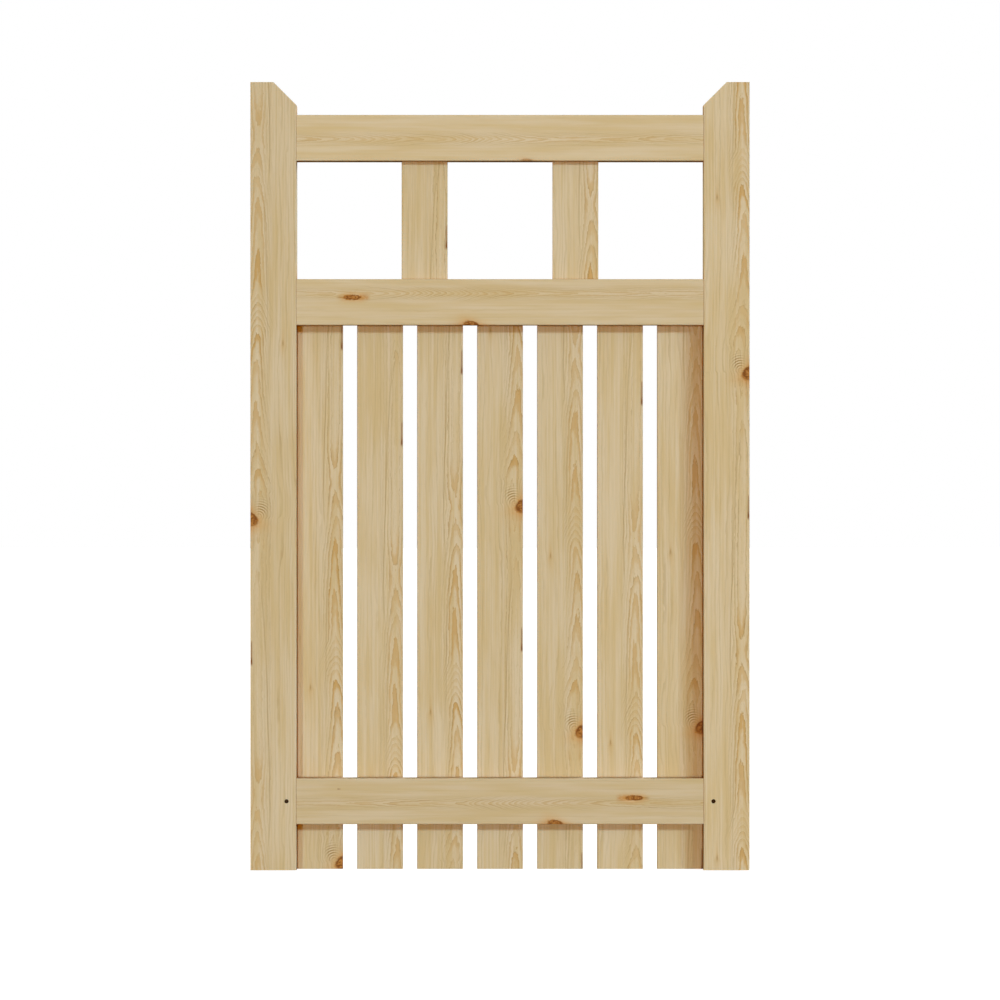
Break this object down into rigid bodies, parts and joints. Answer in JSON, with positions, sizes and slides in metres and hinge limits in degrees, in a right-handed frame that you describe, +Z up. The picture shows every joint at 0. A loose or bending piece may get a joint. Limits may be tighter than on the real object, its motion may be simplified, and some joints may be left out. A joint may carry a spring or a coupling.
{
  "type": "wooden garden gate",
  "caption": "Pine garden gate leaf: stiles with sloped tops, tenoned rails, an open light divided by slats at the top and upright pales behind the lower rails.",
  "frame": {"origin": "on the flat outer edge of the left stile, midway through its thickness, level with the feet of the stiles", "axes": "+X across the gate from the left stile to the right one, +Y from the front to the back, +Z up"},
  "size_m": [0.76, 0.045, 1.2],
  "materials": {
    "pine": "planed pale pine, bare, with eased edges and small orange-brown knots"
  },
  "bodies": {
    "root": {"left_stile": "pine", "right_stile": "pine", "top_rail": "pine", "middle_rail": "pine", "bottom_rail": "pine", "slat_1": "pine", "slat_2": "pine", "pale_1": "pine", "pale_2": "pine", "pale_3": "pine", "pale_4": "pine", "pale_5": "pine", "pale_6": "pine", "pale_7": "pine"}
  },
  "joints": []
}
